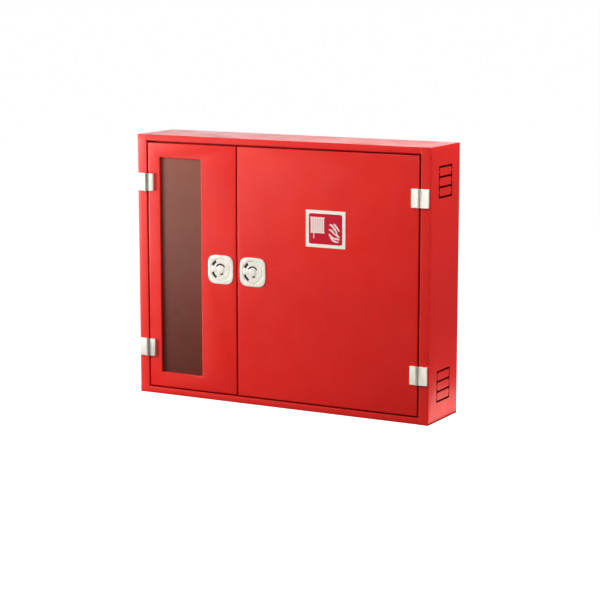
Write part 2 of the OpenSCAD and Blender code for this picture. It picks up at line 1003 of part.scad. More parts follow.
// Hook plate for the hanging lug of an extinguisher
module extinguisher_hanger() {
    y = -sheet - 3;
    color("slategray")
        difference() {
            union() {
                bar(hang_x - 30, hang_x + 30, y, -sheet, hanger_z - 15, hanger_z + hanger_pitch + 15);
                bar(hang_x - 13, hang_x + 13, y - 40, y, hook_z, hook_z + 3);
                bar(hang_x - 13, hang_x + 13, y - 40, y - 37, hook_z, hook_z + 22);
            }
            for (t = [0, 1])
                rod_y(hang_x, hanger_z + t * hanger_pitch, hanger_r, y - 1, 0);
        }
}

module hanger_screws() {
    y = -sheet - 3;
    color("silver")
        for (t = [0, 1]) {
            rod_y(hang_x, hanger_z + t * hanger_pitch, 5.5, y - 3.5, y);
            rod_y(hang_x, hanger_z + t * hanger_pitch, hanger_r, y, -0.2);
        }
}

// ---------- what is drawn ----------

left_side();
right_side();
top_panel();
bottom_panel();
back_panel();
divider_panel();
mullion_angle();
left_door();
window_seal();
window_glass();
glass_retainer();
retainer_nuts();
right_door();
door_stiffener();
sign_plate();
hinge_frame_leaf_ul();
hinge_frame_leaf_ll();
hinge_frame_leaf_ur();
hinge_frame_leaf_lr();
hinge_door_leaf_ul();
hinge_door_leaf_ll();
hinge_door_leaf_ur();
hinge_door_leaf_lr();
hinge_pin_ul();
hinge_pin_ll();
hinge_pin_ur();
hinge_pin_lr();
hinge_frame_screws();
hinge_screws_left();
hinge_screws_right();
latch_body_left();
latch_body_right();
latch_nut_left();
latch_nut_right();
latch_handle_left();
latch_handle_right();
latch_cam_left();
latch_cam_right();
cam_nut_left();
cam_nut_right();
reel_bracket();
bracket_bolts();
reel_axle();
axle_collar();
axle_plug();
reel_hub();
reel_drum();
reel_disc_back();
reel_disc_front();
reel_screws();
hose_outlet();
stop_valve();
valve_bonnet();
valve_stem();
handwheel();
feed_pipe();
pipe_clip();
extinguisher_hanger();
hanger_screws();
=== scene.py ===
"""Looks of the double-compartment fire hose cabinet.

Node materials for every sub-part, rounded copies of the folded sheets, hinges and latch plates, the
modelled latch grips, the pictogram's print, and the studio with its camera. Lengths are in metres.
"""

import json
import math

import bmesh
import bpy
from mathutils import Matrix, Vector

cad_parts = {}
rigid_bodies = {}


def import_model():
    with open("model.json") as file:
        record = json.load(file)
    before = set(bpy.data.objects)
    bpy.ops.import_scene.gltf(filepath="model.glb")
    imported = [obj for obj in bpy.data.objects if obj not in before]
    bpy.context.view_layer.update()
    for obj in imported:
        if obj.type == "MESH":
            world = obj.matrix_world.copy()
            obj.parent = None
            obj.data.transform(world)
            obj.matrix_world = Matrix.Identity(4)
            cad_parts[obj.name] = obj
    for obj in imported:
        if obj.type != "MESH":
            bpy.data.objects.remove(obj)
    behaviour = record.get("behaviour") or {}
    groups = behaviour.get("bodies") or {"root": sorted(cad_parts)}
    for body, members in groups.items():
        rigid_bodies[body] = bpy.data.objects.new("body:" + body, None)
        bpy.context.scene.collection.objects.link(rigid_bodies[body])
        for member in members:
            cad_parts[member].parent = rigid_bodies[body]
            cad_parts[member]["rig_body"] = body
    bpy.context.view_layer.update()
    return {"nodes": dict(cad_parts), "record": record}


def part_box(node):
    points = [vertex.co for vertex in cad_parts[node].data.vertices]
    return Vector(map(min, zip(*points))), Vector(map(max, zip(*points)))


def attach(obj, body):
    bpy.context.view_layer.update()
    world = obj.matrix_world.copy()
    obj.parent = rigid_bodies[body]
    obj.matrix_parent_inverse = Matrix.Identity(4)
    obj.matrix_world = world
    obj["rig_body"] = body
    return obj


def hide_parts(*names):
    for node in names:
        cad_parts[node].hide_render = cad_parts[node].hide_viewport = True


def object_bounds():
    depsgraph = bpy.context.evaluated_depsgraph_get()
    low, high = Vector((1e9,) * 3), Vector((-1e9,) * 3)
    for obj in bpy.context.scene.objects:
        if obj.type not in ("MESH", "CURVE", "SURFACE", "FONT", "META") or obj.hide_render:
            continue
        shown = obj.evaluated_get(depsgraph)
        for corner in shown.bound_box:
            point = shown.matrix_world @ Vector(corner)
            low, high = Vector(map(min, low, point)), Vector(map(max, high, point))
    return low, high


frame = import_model()
NODES = frame["nodes"]
SCENE = bpy.context.scene
SLOT_OF = {s["node"]: s["material_slot"] for s in frame["record"]["subparts"]}


# ---------- node helpers ----------

def new_material(name):
    """An empty node material with a Principled shader wired to its output."""
    mat = bpy.data.materials.new(name)
    mat.use_nodes = True
    nt = mat.node_tree
    nt.nodes.clear()
    out = nt.nodes.new("ShaderNodeOutputMaterial")
    shader = nt.nodes.new("ShaderNodeBsdfPrincipled")
    nt.links.new(shader.outputs["BSDF"], out.inputs["Surface"])
    return mat, nt, shader


def coords(nt, scale=(1, 1, 1)):
    """Object coordinates in metres, stretched by scale."""
    tex = nt.nodes.new("ShaderNodeTexCoord")
    mapping = nt.nodes.new("ShaderNodeMapping")
    mapping.inputs["Scale"].default_value = scale
    nt.links.new(tex.outputs["Object"], mapping.inputs["Vector"])
    return mapping.outputs["Vector"]


def noise(nt, vector, scale, detail=3.0, rough=0.5):
    """A noise value; scale is in bumps per metre."""
    n = nt.nodes.new("ShaderNodeTexNoise")
    n.inputs["Scale"].default_value = scale
    n.inputs["Detail"].default_value = detail
    n.inputs["Roughness"].default_value = rough
    nt.links.new(vector, n.inputs["Vector"])
    return n.outputs["Fac"]


def remap(nt, value, low, high, lo=0.3, hi=0.7):
    """value, from lo to hi, spread to low to high."""
    m = nt.nodes.new("ShaderNodeMapRange")
    m.inputs["From Min"].default_value = lo
    m.inputs["From Max"].default_value = hi
    m.inputs["To Min"].default_value = low
    m.inputs["To Max"].default_value = high
    nt.links.new(value, m.inputs["Value"])
    return m.outputs["Result"]


def two_tone(nt, value, a, b):
    """Colour a where value is low, b where it is high."""
    ramp = nt.nodes.new("ShaderNodeValToRGB")
    ramp.color_ramp.elements[0].position = 0.3
    ramp.color_ramp.elements[1].position = 0.7
    ramp.color_ramp.elements[0].color = (*a, 1)
    ramp.color_ramp.elements[1].color = (*b, 1)
    nt.links.new(value, ramp.inputs["Fac"])
    return ramp.outputs["Color"]


def mixed(nt, factor, a, b):
    """Colour a mixed with b by a linked factor; a and b are sockets or colours."""
    m = nt.nodes.new("ShaderNodeMix")
    m.data_type = "RGBA"
    nt.links.new(factor, m.inputs[0])
    for socket, c in ((m.inputs[6], a), (m.inputs[7], b)):
        if isinstance(c, tuple):
            socket.default_value = (*c, 1)
        else:
            nt.links.new(c, socket)
    return m.outputs[2]


def bump(nt, shader, height, strength, distance, under=None):
    """Lays a bump on the shader, over the normal of an earlier one if there is one."""
    b = nt.nodes.new("ShaderNodeBump")
    b.inputs["Strength"].default_value = strength
    b.inputs["Distance"].default_value = distance
    nt.links.new(height, b.inputs["Height"])
    if under is not None:
        nt.links.new(under, b.inputs["Normal"])
    nt.links.new(b.outputs["Normal"], shader.inputs["Normal"])
    return b.outputs["Normal"]


def shade(base, factor):
    """A colour made lighter or darker."""
    return tuple(min(1.0, c * factor) for c in base)


# ---------- materials ----------

def powder_coat(name, base, rough=0.36, peel=0.10, coat=0.08, specular=0.30):
    """Baked powder coat: orange peel, faint cloudiness in colour and gloss, painted shade in the corners."""
    mat, nt, sh = new_material(name)
    v = coords(nt)
    cloud = noise(nt, v, scale=5.0, detail=4.0, rough=0.55)
    colour = two_tone(nt, cloud, shade(base, 0.95), shade(base, 1.04))
    speck = noise(nt, v, scale=420.0, detail=2.0)
    colour = mixed(nt, remap(nt, speck, 0.0, 0.10, lo=0.55, hi=0.75), colour, shade(base, 0.80))
    # Painted shade: the colour darkens towards a third of its value where the AO node finds nearby surfaces,
    # in corners, creases and gaps.
    ao = nt.nodes.new("ShaderNodeAmbientOcclusion")
    ao.inputs["Distance"].default_value = 0.012
    ao.samples = 6
    painted_shade = remap(nt, ao.outputs["AO"], 0.35, 0.0, lo=0.25, hi=0.80)
    colour = mixed(nt, painted_shade, colour, shade(base, 0.35))
    nt.links.new(colour, sh.inputs["Base Color"])
    haze = noise(nt, v, scale=14.0, detail=5.0, rough=0.6)
    nt.links.new(remap(nt, haze, rough - 0.05, rough + 0.06), sh.inputs["Roughness"])
    sh.inputs["Coat Weight"].default_value = coat
    sh.inputs["Coat Roughness"].default_value = 0.15
    sh.inputs["Specular IOR Level"].default_value = specular
    fine = noise(nt, v, scale=620.0, detail=2.0, rough=0.45)
    first = bump(nt, sh, fine, strength=peel, distance=0.0004)
    broad = noise(nt, v, scale=120.0, detail=2.0)
    bump(nt, sh, broad, strength=peel * 0.6, distance=0.0006, under=first)
    return mat


def plated(name, base, rough=0.26, stretch=(1, 1, 30), scale=60.0, metallic=1.0, pits=0.05):
    """Plated or zinc-coated metal with a brushed grain and small handling marks."""
    mat, nt, sh = new_material(name)
    v = coords(nt, stretch)
    grain = noise(nt, v, scale, detail=6.0, rough=0.65)
    cloud = noise(nt, coords(nt), scale=45.0, detail=4.0, rough=0.6)
    colour = two_tone(nt, cloud, shade(base, 0.88), shade(base, 1.05))
    nt.links.new(colour, sh.inputs["Base Color"])
    sh.inputs["Metallic"].default_value = metallic
    nt.links.new(remap(nt, grain, rough - 0.06, rough + 0.09), sh.inputs["Roughness"])
    first = bump(nt, sh, grain, strength=pits, distance=0.0002)
    marks = noise(nt, coords(nt), scale=700.0, detail=2.0)
    bump(nt, sh, marks, strength=pits, distance=0.0001, under=first)
    return mat


def spangle(name, base, rough=0.42):
    """Hot-dip zinc with its crystal spangle."""
    mat, nt, sh = new_material(name)
    crystals = nt.nodes.new("ShaderNodeTexVoronoi")
    crystals.inputs["Scale"].default_value = 130.0
    nt.links.new(coords(nt), crystals.inputs["Vector"])
    parts = nt.nodes.new("ShaderNodeSeparateColor")
    nt.links.new(crystals.outputs["Color"], parts.inputs["Color"])
    colour = two_tone(nt, parts.outputs["Red"], shade(base, 0.80), shade(base, 1.1))
    nt.links.new(colour, sh.inputs["Base Color"])
    gloss = remap(nt, parts.outputs["Green"], rough - 0.1, rough + 0.1, lo=0.0, hi=1.0)
    nt.links.new(gloss, sh.inputs["Roughness"])
    sh.inputs["Metallic"].default_value = 1.0
    bump(nt, sh, noise(nt, coords(nt), scale=260.0), strength=0.12, distance=0.0003)
    return mat


def cast(name, base, rough=0.40, metallic=1.0, lump=0.25):
    """Cast metal, tarnished in patches, with a grainy skin."""
    mat, nt, sh = new_material(name)
    v = coords(nt)
    tarnish = noise(nt, v, scale=38.0, detail=6.0, rough=0.65)
    colour = two_tone(nt, tarnish, shade(base, 0.68), shade(base, 1.08))
    nt.links.new(colour, sh.inputs["Base Color"])
    sh.inputs["Metallic"].default_value = metallic
    nt.links.new(remap(nt, tarnish, rough + 0.12, rough - 0.08), sh.inputs["Roughness"])
    grain = noise(nt, v, scale=380.0, detail=4.0, rough=0.6)
    first = bump(nt, sh, grain, strength=lump, distance=0.0004)
    bump(nt, sh, noise(nt, v, scale=60.0), strength=lump * 0.5, distance=0.0008, under=first)
    return mat


def rubber(name):
    """Black rubber with a dusty bloom and a fine grain."""
    mat, nt, sh = new_material(name)
    v = coords(nt)
    bloom = noise(nt, v, scale=60.0)
    colour = two_tone(nt, bloom, (0.012, 0.011, 0.011), (0.030, 0.028, 0.027))
    nt.links.new(colour, sh.inputs["Base Color"])
    nt.links.new(remap(nt, noise(nt, v, scale=200.0), 0.62, 0.80), sh.inputs["Roughness"])
    bump(nt, sh, noise(nt, v, scale=900.0, detail=2.0), strength=0.25, distance=0.0002)
    return mat


def smoked(name):
    """Smoked pane: a brown film over clear glass, with faint waviness and dust, and a painted reflection that
    lightens it towards the top.
    """
    mat, nt, sh = new_material(name)
    v = coords(nt)
    low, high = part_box("window_glass")
    place = nt.nodes.new("ShaderNodeSeparateXYZ")
    nt.links.new(v, place.inputs["Vector"])
    # Painted reflection: the film's colour grows lighter from the bottom of the pane to its top, standing in
    # for the studio mirrored in the glass.
    upward = remap(nt, place.outputs["Z"], 0.0, 1.0, low.z, high.z)
    film = mixed(nt, upward, (0.135, 0.024, 0.016), (0.300, 0.078, 0.046))
    cloud = noise(nt, v, scale=6.0)
    film = mixed(nt, remap(nt, cloud, 0.0, 0.25), film, (0.150, 0.046, 0.032))
    specks = noise(nt, v, scale=260.0, detail=5.0, rough=0.7)
    dust = remap(nt, specks, 0.0, 0.04, lo=0.50, hi=0.80)
    nt.links.new(mixed(nt, dust, film, (0.30, 0.24, 0.20)), sh.inputs["Base Color"])
    smear = noise(nt, v, scale=30.0, detail=4.0, rough=0.6)
    nt.links.new(remap(nt, smear, 0.20, 0.26), sh.inputs["Roughness"])
    sh.inputs["Transmission Weight"].default_value = 0.22
    sh.inputs["IOR"].default_value = 1.5
    wave = noise(nt, v, scale=9.0, detail=2.0, rough=0.4)
    bump(nt, sh, wave, strength=0.05, distance=0.0008)
    return mat


def print_film(name, base, rough=0.30, specular=0.5):
    """Ink on a plastic film: a fine screen grain, slight fading and a soft gloss."""
    mat, nt, sh = new_material(name)
    v = coords(nt)
    fade = noise(nt, v, scale=25.0)
    colour = two_tone(nt, fade, shade(base, 0.95), shade(base, 1.03))
    grain = noise(nt, v, scale=1600.0, detail=1.0)
    colour = mixed(nt, remap(nt, grain, 0.0, 0.08), colour, shade(base, 0.75))
    nt.links.new(colour, sh.inputs["Base Color"])
    nt.links.new(remap(nt, fade, rough - 0.04, rough + 0.06), sh.inputs["Roughness"])
    sh.inputs["Specular IOR Level"].default_value = specular
    bump(nt, sh, grain, strength=0.05, distance=0.0001)
    return mat


RED = (0.760, 0.0150, 0.011)
EVEN = (1, 1, 1)  # a grain without a direction
MATERIALS = {
    "shell_paint": powder_coat("shell_paint", RED),
    "door_paint": powder_coat("door_paint", RED, rough=0.34),
    "seal_rubber": rubber("seal_rubber"),
    "smoked_glass": smoked("smoked_glass"),
    "sign_face": print_film("sign_face", (0.94, 0.86, 0.79)),
    "hinge_metal": plated("hinge_metal", (0.82, 0.80, 0.74), rough=0.36, metallic=0.08),
    "pin_steel": plated("pin_steel", (0.42, 0.41, 0.39), rough=0.32, stretch=(1, 1, 0.05), scale=900.0),
    "zinc_steel": plated("zinc_steel", (0.66, 0.66, 0.63), rough=0.30, stretch=EVEN, scale=300.0, pits=0.10),
    "latch_plate": plated(
        "latch_plate", (0.93, 0.875, 0.80), rough=0.30, stretch=EVEN, scale=220.0, metallic=0.08, pits=0.04
    ),
    "latch_grip": plated(
        "latch_grip", (0.90, 0.85, 0.78), rough=0.27, stretch=(12, 1, 1), scale=90.0, metallic=0.12, pits=0.04
    ),
    "bracket_paint": powder_coat("bracket_paint", (0.030, 0.030, 0.033), rough=0.42, peel=0.22, coat=0.0),
    "reel_paint": powder_coat("reel_paint", (0.560, 0.020, 0.016), rough=0.26, peel=0.06, coat=0.5),
    "brass": cast("brass", (0.72, 0.50, 0.22)),
    "wheel_iron": cast("wheel_iron", (0.50, 0.020, 0.015), rough=0.36, metallic=0.0, lump=0.45),
    "pipe_zinc": spangle("pipe_zinc", (0.60, 0.61, 0.61)),
}
SIGN_RED = print_film("sign_red", (0.560, 0.006, 0.028), rough=0.45, specular=0.15)
# Painted shade: a black for the deep faces of the grips' slots and pockets, standing in for the shade inside
# them.
HOLLOW_PAINTED_SHADE = rubber("grip_hollow_painted_shade")
# Painted shade: a darker metal for the hinge knuckles and pins, standing in for the shade between the leaves.
BARREL_PAINTED_SHADE = plated("hinge_barrel_painted_shade", (0.50, 0.48, 0.43), rough=0.40, metallic=0.5)
SIGN_SYMBOL = print_film("sign_symbol", (0.90, 0.72, 0.69))


# ---------- rounded copies of the CAD pieces ----------

SAME_POINT = 2e-6  # vertices closer than this are welded
FLAT_DEG = 0.6  # faces that meet at less than this are joined
SHARP_DEG = 50  # edges sharper than this may be rounded
NEAR = 3e-5  # tolerance for a place on a known plane


def link(name, bm, materials, smooth_deg=38.0):
    """An object from bm, with smooth shading up to the given angle."""
    bmesh.ops.recalc_face_normals(bm, faces=bm.faces)
    for f in bm.faces:
        f.smooth = True
    for e in bm.edges:
        e.smooth = len(e.link_faces) != 2 or e.calc_face_angle(0.0) < math.radians(smooth_deg)
    me = bpy.data.meshes.new(name)
    bm.to_mesh(me)
    bm.free()
    for m in materials:
        me.materials.append(m)
    ob = bpy.data.objects.new(name, me)
    SCENE.collection.objects.link(ob)
    return ob


def solid_of(node):
    """The CAD node's surface as a clean bmesh: welded, with its flat faces joined."""
    bm = bmesh.new()
    src = NODES[node].data
    verts = [bm.verts.new(v.co) for v in src.vertices]
    for p in src.polygons:
        try:
            bm.faces.new([verts[i] for i in p.vertices])
        except ValueError:  # the same face twice
            pass
    bmesh.ops.remove_doubles(bm, verts=bm.verts, dist=SAME_POINT)
    bmesh.ops.dissolve_limit(bm, angle_limit=math.radians(FLAT_DEG), verts=bm.verts, edges=bm.edges)
    return bm


def stand_in(ob, node):
    """ob takes over from the CAD node: same body, same slot."""
    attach(ob, NODES[node]["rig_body"])
    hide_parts(node)
    return ob


def rounded(node, rules, cuts=(), barrel=None):
    """Replaces a CAD node by a copy with rounded edges.

    rules is a list of (width, segments, test of an edge's two ends), cuts are heights at which faces are
    split first, and barrel is a test of the places that take the darker barrel material, painted shade.
    """
    bm = solid_of(node)
    for z in cuts:
        everything = bm.verts[:] + bm.edges[:] + bm.faces[:]
        bmesh.ops.bisect_plane(bm, geom=everything, plane_co=(0, 0, z), plane_no=(0, 0, 1))
    for width, segments, test in rules:
        edges = [
            e for e in bm.edges
            if len(e.link_faces) == 2 and e.calc_face_angle(0.0) > math.radians(SHARP_DEG)
            and e.calc_length() > width * 0.8 and test(e.verts[0].co, e.verts[1].co)
        ]
        if edges:
            bmesh.ops.bevel(bm, geom=edges, offset=width, segments=segments, profile=0.5,
                            affect="EDGES", clamp_overlap=True)
    if barrel:
        for f in bm.faces:
            f.material_index = int(all(barrel(v.co) for v in f.verts))
    return stand_in(link(node + "_look", bm, [MATERIALS[SLOT_OF[node]], BARREL_PAINTED_SHADE]), node)


def anywhere(a, b):
    """Every sharp edge."""
    return True


for name, ob in NODES.items():
    ob.data.materials.clear()
    ob.data.materials.append(MATERIALS[SLOT_OF[name]])

SIDE_LO, SIDE_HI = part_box("left_side")
FACE_Y = SIDE_LO.y
HALF_W = -SIDE_LO.x
HALF_H = SIDE_HI.z

LEFT_LO, LEFT_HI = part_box("left_door")
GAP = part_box("right_door")[0].x - LEFT_HI.x
RAIL_Z = LEFT_HI.z + GAP
STILE_X = -LEFT_LO.x + GAP

SHELL_R = 0.0014  # fold radius of the shell's outer edges
FRAME_R = 0.0021  # fold radius of the frame and the doors
LONG = 0.05  # shorter edges belong to holes and notches and stay sharp


def on_fold(a, b):
    """The long outer edges of the shell, where the sheet turns."""
    hits = 0
    for i, limit in ((0, HALF_W), (1, -FACE_Y), (2, HALF_H)):
        if abs(abs(a[i]) - limit) < NEAR and abs(abs(b[i]) - limit) < NEAR and (i != 1 or a[1] < 0):
            hits += 1
    return hits >= 2 and (a - b).length > LONG


def on_frame(a, b):
    """The edges of the frame that face the doors."""
    front = abs(a.y - FACE_Y) < NEAR and abs(b.y - FACE_Y) < NEAR
    stile = all(abs(abs(p.x) - STILE_X) < NEAR and abs(p.z) < RAIL_Z + NEAR for p in (a, b))
    rail = all(abs(abs(p.z) - RAIL_Z) < NEAR for p in (a, b))
    return front and (stile or rail) and (a - b).length > LONG


def on_face(a, b):
    """The edges of a door's front face."""
    return abs(a.y - FACE_Y) < NEAR and abs(b.y - FACE_Y) < NEAR and (a - b).length > LONG


SHELL_RULES = [(SHELL_R, 3, on_fold), (FRAME_R, 4, on_frame)]
for n in ("left_side", "right_side"):
    rounded(n, SHELL_RULES, cuts=(-RAIL_Z, RAIL_Z))
for n in ("top_panel", "bottom_panel"):
    rounded(n, SHELL_RULES)
for n in ("left_door", "right_door"):
    rounded(n, [(FRAME_R, 4, on_face)])

JOINTS = {j["name"]: j for j in frame["record"]["behaviour"]["joints"]}
HINGE_AT = JOINTS["right_door_swing"]["pos_m"]
BARREL_R = 0.0052  # just outside the knuckles
HINGE_EDGE_R = 0.0008
PLATE_EDGE_R = 0.0007


def in_barrel(p):
    """Whether a place is on the knuckles or the pin of a hinge."""
    return math.hypot(abs(p.x) - HINGE_AT[0], p.y - HINGE_AT[1]) < BARREL_R


# Painted shade: the knuckles and the pins take the darker barrel metal.
for n in NODES:
    if n.startswith(("hinge_frame_leaf", "hinge_door_leaf")):
        rounded(n, [(HINGE_EDGE_R, 2, anywhere)], barrel=in_barrel)
    if n.startswith("hinge_pin"):
        NODES[n].data.materials[0] = BARREL_PAINTED_SHADE
for n in ("latch_body_left", "latch_body_right"):
    rounded(n, [(PLATE_EDGE_R, 3, anywhere)])


# ---------- turning grips ----------

PAD_R = 0.0338  # radius of the round pad that turns in the dish
HUB_R = 0.0130
EDGE = 0.0016  # width over which the pad and the hub round off
SPINDLE_R = 0.006
SPINDLE_END_R = 0.004
SPINDLE_END = 0.008  # length of the thinner end that carries the cam
PAD_LIFT = 0.0005  # the pad lies this far behind the front of the plate
BACK = 0.0115  # depth of the pad behind its face
# Painted shade: faces deeper than DARK take the black that stands in for the shade in the slots and pockets.
DARK = 0.0016  # faces deeper than this belong to the hollows
RINGS, STEPS = 96, 300
# Features of the face: rise, from and to in degrees, softness, from and to in radius, softness
FACE_FEATURES = (
    (-0.0045, 32, 148, 5, 0.0143, 0.0177, 0.0007),  # slot over the hub
    (-0.0035, 268, 302, 5, 0.0137, 0.0169, 0.0007),  # short slot under the hub
    (0.0007, 168, 192, 8, 0.0150, 0.0300, 0.0020),  # thumb bar
    (-0.0060, 127, 154, 4, 0.0262, 0.0322, 0.0009),  # upper finger pocket
    (-0.0060, 202, 238, 4, 0.0262, 0.0322, 0.0009),  # lower finger pocket
)
GROOVE = (0.0206, 0.0212)  # radii of the shallow ring round the slots
GROOVE_DEPTH = 0.0004
RIM_DROP = 0.0011  # how far the rim of the pad falls off
HUB_RISE = 0.0013
HUB_CROWN = 0.0006  # how much higher the middle of the hub is than its edge


def ramp_in(value, start, end):
    """0 before start, 1 after end, smooth between."""
    t = min(1.0, max(0.0, (value - start) / (end - start)))
    return t * t * (3 - 2 * t)


def window(value, low, high, soft):
    """1 from low to high, falling to 0 over soft on either side."""
    return ramp_in(value, low - soft, low) * (1.0 - ramp_in(value, high, high + soft))


def grip_height(r, turn):
    """Height of the grip's face over its pad, at radius r and angle turn in degrees."""
    h = -RIM_DROP * ramp_in(r, PAD_R - EDGE, PAD_R)
    hub = 1.0 - ramp_in(r, HUB_R - EDGE, HUB_R)
    h += hub * (HUB_RISE + HUB_CROWN * math.cos(r / HUB_R * math.pi / 2))
    for rise, turn_0, turn_1, turn_soft, r_0, r_1, r_soft in FACE_FEATURES:
        h += rise * window(turn, turn_0, turn_1, turn_soft) * window(r, r_0, r_1, r_soft)
    return h - GROOVE_DEPTH * window(r, *GROOVE, GROOVE_DEPTH)


def turning_grip(side):
    """The grip: a round face with its hub, slots, finger pockets and thumb bar, and the spindle behind."""
    node = "latch_handle_" + side
    low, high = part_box(node)
    centre_x, centre_z = (low.x + high.x) / 2, (low.z + high.z) / 2
    pad_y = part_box("latch_body_" + side)[0].y + PAD_LIFT
    bm = bmesh.new()

    def ring(r, y_at):
        """A ring of vertices of radius r, y_at giving its place in Y for an angle."""
        made = []
        for k in range(STEPS):
            a = math.radians(360.0 * k / STEPS)
            place = (centre_x + r * math.cos(a), y_at(360.0 * k / STEPS), centre_z + r * math.sin(a))
            made.append(bm.verts.new(place))
        return made

    middle = bm.verts.new((centre_x, pad_y - grip_height(0, 0), centre_z))
    outline = []
    for i in range(1, RINGS + 1):
        r = PAD_R * i / RINGS
        outline.append(ring(r, lambda a: pad_y - grip_height(r, a)))
    back_y = pad_y + BACK
    end_y = high.y - SPINDLE_END
    spindle = ((SPINDLE_R, back_y), (SPINDLE_R, end_y), (SPINDLE_END_R, end_y), (SPINDLE_END_R, high.y))
    for r, y in ((PAD_R, back_y), *spindle):
        outline.append(ring(r, lambda a: y))
    for k in range(STEPS):
        bm.faces.new((middle, outline[0][k], outline[0][(k + 1) % STEPS]))
    for inner, outer in zip(outline, outline[1:]):
        for k in range(STEPS):
            bm.faces.new((inner[k], outer[k], outer[(k + 1) % STEPS], inner[(k + 1) % STEPS]))
    bm.faces.new(outline[-1])
    for f in bm.faces:
        c = f.calc_center_median()
        inside = math.hypot(c.x - centre_x, c.z - centre_z) < 0.97 * PAD_R
        # Painted shade: the deep faces inside the pad take the black material.
        f.material_index = int(inside and pad_y + DARK < c.y < pad_y + BACK * 0.9)
    stand_in(link(node + "_look", bm, [MATERIALS[SLOT_OF[node]], HOLLOW_PAINTED_SHADE], smooth_deg=50.0), node)


for side in ("left", "right"):
    turning_grip(side)


# ---------- pictogram ----------

def flat_shape(bm, outline, y_back, y_front):
    """A thin plate with the given outline in X and Z."""
    back = [bm.verts.new((x, y_back, z)) for x, z in outline]
    front = [bm.verts.new((x, y_front, z)) for x, z in outline]
    bm.faces.new(front)
    bm.faces.new(list(reversed(back)))
    n = len(outline)
    for i in range(n):
        bm.faces.new((front[i], back[i], back[(i + 1) % n], front[(i + 1) % n]))


def round_rect(x0, x1, z0, z1, r, steps=6):
    """Outline of a rectangle with rounded corners."""
    corners = ((x1 - r, z1 - r), (x0 + r, z1 - r), (x0 + r, z0 + r), (x1 - r, z0 + r))
    points = []
    for quarter, (cx, cz) in enumerate(corners):
        for i in range(steps + 1):
            a = math.radians(90 * quarter + 90 * i / steps)
            points.append((cx + r * math.cos(a), cz + r * math.sin(a)))
    return points


def stroke(points, widths):
    """Outline of a tapered brush stroke along points."""
    left, right = [], []
    for i, (x, z) in enumerate(points):
        ax, az = points[max(i - 1, 0)]
        bx, bz = points[min(i + 1, len(points) - 1)]
        d = math.hypot(bx - ax, bz - az) or 1.0
        nx, nz = -(bz - az) / d, (bx - ax) / d
        left.append((x + nx * widths[i] / 2, z + nz * widths[i] / 2))
        right.append((x - nx * widths[i] / 2, z - nz * widths[i] / 2))
    return left + right[::-1]


def curve(p0, p1, p2, steps):
    """Points along a curve from p0 to p2 that bends towards p1."""
    return [
        tuple((1 - t) ** 2 * a + 2 * t * (1 - t) * b + t * t * c for a, b, c in zip(p0, p1, p2))
        for t in [i / steps for i in range(steps + 1)]
    ]


SIGN_LO, SIGN_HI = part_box("sign_plate")
SIGN_FACE = SIGN_LO.y
FIELD_FRONT = 0.00015  # how far each print stands in front of the plate
SYMBOL_FRONT = 0.0003
SUNK = 0.0001  # how far each print reaches into what is behind it
LAYER = 0.00002  # step between strokes that cross
FIELD = (0.077, 0.090, 0.923, 0.910)  # left, bottom, right and top of the red field, from 0 to 1
FIELD_CORNER = 0.006

# The reel: turns of hose side by side, a bar under and over them, and the hose's end
TURNS, TURN_LEFT, TURN_PITCH, TURN_WIDTH = 8, 0.125, 0.0435, 0.037
TURN_BOTTOM, TURN_TOP, TURN_CORNER = 0.40, 0.80, 0.0015
REEL_BARS = ((0.115, 0.385, 0.48, 0.41), (0.115, 0.785, 0.48, 0.815), (0.19, 0.24, 0.215, 0.385))
# The flames: each stroke's start, bend and end
FLAMES = (
    ((0.60, 0.62), (0.66, 0.66), (0.72, 0.50)), ((0.70, 0.66), (0.76, 0.62), (0.85, 0.46)),
    ((0.585, 0.50), (0.66, 0.50), (0.74, 0.36)), ((0.66, 0.60), (0.74, 0.54), (0.80, 0.38)),
    ((0.585, 0.38), (0.64, 0.30), (0.76, 0.24)), ((0.62, 0.30), (0.70, 0.16), (0.84, 0.18)),
    ((0.74, 0.40), (0.80, 0.34), (0.86, 0.30)), ((0.74, 0.28), (0.80, 0.26), (0.86, 0.24)),
)
FLAME_WIDTH = 0.0056
FLAME_STEPS = 10


def at(u, v):
    """A place on the sign, u to the right and v upward, each from 0 to 1."""
    return (SIGN_LO.x + u * (SIGN_HI.x - SIGN_LO.x), SIGN_LO.z + v * (SIGN_HI.z - SIGN_LO.z))


def flame_width(i):
    """Width of a flame at point i: pointed at both ends."""
    return FLAME_WIDTH * math.sin(math.pi * (0.08 + 0.84 * i / FLAME_STEPS)) ** 0.7


def sign_field():
    """The red field with its rounded corners."""
    bm = bmesh.new()
    left, bottom, right, top = FIELD
    x0, z0 = at(left, bottom)
    x1, z1 = at(right, top)
    flat_shape(bm, round_rect(x0, x1, z0, z1, FIELD_CORNER), SIGN_FACE + SUNK, SIGN_FACE - FIELD_FRONT)
    return link("sign_field", bm, [SIGN_RED])


def sign_symbol():
    """The hose reel and the flames, in the light colour."""
    bm = bmesh.new()
    y_back, y_front = SIGN_FACE - SUNK, SIGN_FACE - SYMBOL_FRONT
    for i in range(TURNS):
        left = TURN_LEFT + i * TURN_PITCH
        x0, z0 = at(left, TURN_BOTTOM)
        x1, z1 = at(left + TURN_WIDTH, TURN_TOP)
        flat_shape(bm, round_rect(x0, x1, z0, z1, TURN_CORNER, steps=3), y_back, y_front)
    for left, bottom, right, top in REEL_BARS:
        x0, z0 = at(left, bottom)
        x1, z1 = at(right, top)
        flat_shape(bm, [(x1, z1), (x0, z1), (x0, z0), (x1, z0)], y_back - LAYER, y_front - LAYER)
    for k, (start, bend, end) in enumerate(FLAMES):
        line = curve(at(*start), at(*bend), at(*end), FLAME_STEPS)
        widths = [flame_width(i) for i in range(len(line))]
        flat_shape(bm, stroke(line, widths), y_back, y_front - LAYER * k)
    return link("sign_symbol", bm, [SIGN_SYMBOL])


